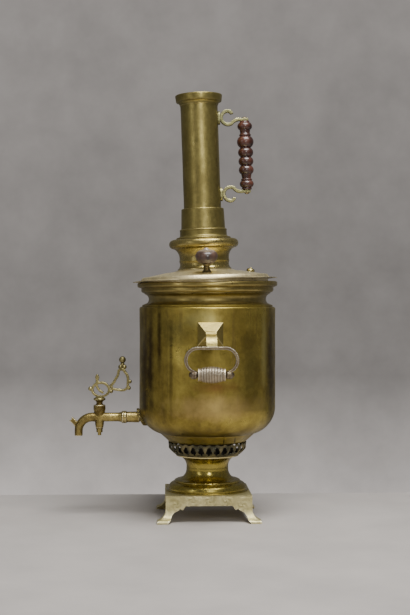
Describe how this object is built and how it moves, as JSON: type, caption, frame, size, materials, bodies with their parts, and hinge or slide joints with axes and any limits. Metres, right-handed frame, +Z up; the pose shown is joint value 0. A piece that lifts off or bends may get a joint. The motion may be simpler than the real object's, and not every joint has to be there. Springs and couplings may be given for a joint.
{
  "type": "samovar",
  "caption": "Charcoal samovar with a drum vessel on a square footed stand, a key tap, side handles, a lid with knobs and a tall handled chimney.",
  "frame": {"origin": "where the vessel's upright axis meets the surface that the four feet stand on", "axes": "+Z is up along the vessel's axis; -X points to the tap; -Y points to the near side handle"},
  "size_m": [0.3373, 0.3252, 0.6807],
  "materials": {
    "vessel_brass": "patinated spun brass with streaks",
    "lid_brass": "worn spun brass, brighter on the crests",
    "chimney_brass": "dull brushed olive brass",
    "arm_brass": "pale cast brass with verdigris",
    "tap_brass": "handled cast brass",
    "plinth_casting": "rough cast brass, tan and olive",
    "stirrup_metal": "worn plated strap, grey and silvery",
    "bracket_brass": "cast brass, worn bright on its faces",
    "ribbed_grip": "ribbed casting, tan and worn",
    "knob_wood": "dark turned wood, worn pale on top",
    "grip_wood": "glossy dark reddish turned wood",
    "sooty_iron": "sooty iron sheet and casting",
    "gasket_leather": "leather gasket"
  },
  "bodies": {
    "vessel": {"plinth_base": "plinth_casting", "foot_pedestal": "vessel_brass", "draft_gallery": "vessel_brass", "body_wall": "vessel_brass", "neck_rim": "vessel_brass", "fire_tube": "sooty_iron", "grate": "sooty_iron", "tap_body": "tap_brass", "tap_rosette": "tap_brass", "tap_gasket": "gasket_leather", "tap_backnut": "tap_brass", "near_side_bracket": "bracket_brass", "near_stirrup": "stirrup_metal", "near_grip_rod": "stirrup_metal", "far_side_bracket": "bracket_brass", "far_stirrup": "stirrup_metal", "far_grip_rod": "stirrup_metal"},
    "tap_key": {"tap_plug": "tap_brass", "plug_washer": "tap_brass", "plug_nut": "tap_brass", "key_scroll": "tap_brass"},
    "near_grip": {"near_side_grip": "ribbed_grip"},
    "far_grip": {"far_side_grip": "ribbed_grip"},
    "lid": {"lid_plate": "lid_brass", "lid_skirt": "lid_brass", "lid_collar": "lid_brass", "near_knob_stem": "lid_brass", "near_lid_knob": "knob_wood", "far_knob_stem": "lid_brass", "far_lid_knob": "knob_wood", "vent_seat": "lid_brass", "vent_pin": "lid_brass"},
    "vent": {"vent_cap": "lid_brass"},
    "chimney": {"chimney_socket": "chimney_brass", "chimney_pipe": "chimney_brass", "chimney_top_ring": "chimney_brass", "upper_scroll_arm": "arm_brass", "lower_scroll_arm": "arm_brass", "upper_lug": "arm_brass", "lower_lug": "arm_brass", "chimney_grip_rod": "stirrup_metal"},
    "handle_grip": {"chimney_grip": "grip_wood"}
  },
  "joints": [
    {"name": "tap_turn", "type": "hinge", "parent": "vessel", "child": "tap_key", "pos_m": [-0.174, 0, 0.19], "axis": [0, 0, 1], "continuous": true},
    {"name": "near_grip_roll", "type": "hinge", "parent": "vessel", "child": "near_grip", "pos_m": [0, -0.15, 0.2357], "axis": [1, 0, 0], "continuous": true},
    {"name": "far_grip_roll", "type": "hinge", "parent": "vessel", "child": "far_grip", "pos_m": [0, 0.15, 0.2357], "axis": [1, 0, 0], "continuous": true},
    {"name": "lid_lift", "type": "slide", "parent": "vessel", "child": "lid", "axis": [0, 0, 1], "range_m": [0, 0.09]},
    {"name": "vent_turn", "type": "hinge", "parent": "lid", "child": "vent", "pos_m": [0.06979, 0, 0.3946], "axis": [0.1506, 0, 0.9886], "continuous": true},
    {"name": "chimney_lift", "type": "slide", "parent": "lid", "child": "chimney", "axis": [-0.0349, 0, 0.9994], "range_m": [0, 0.04]},
    {"name": "handle_grip_roll", "type": "hinge", "parent": "chimney", "child": "handle_grip", "pos_m": [0.06222, 0, 0.58292], "axis": [-0.0349, 0, 0.9994], "continuous": true}
  ]
}
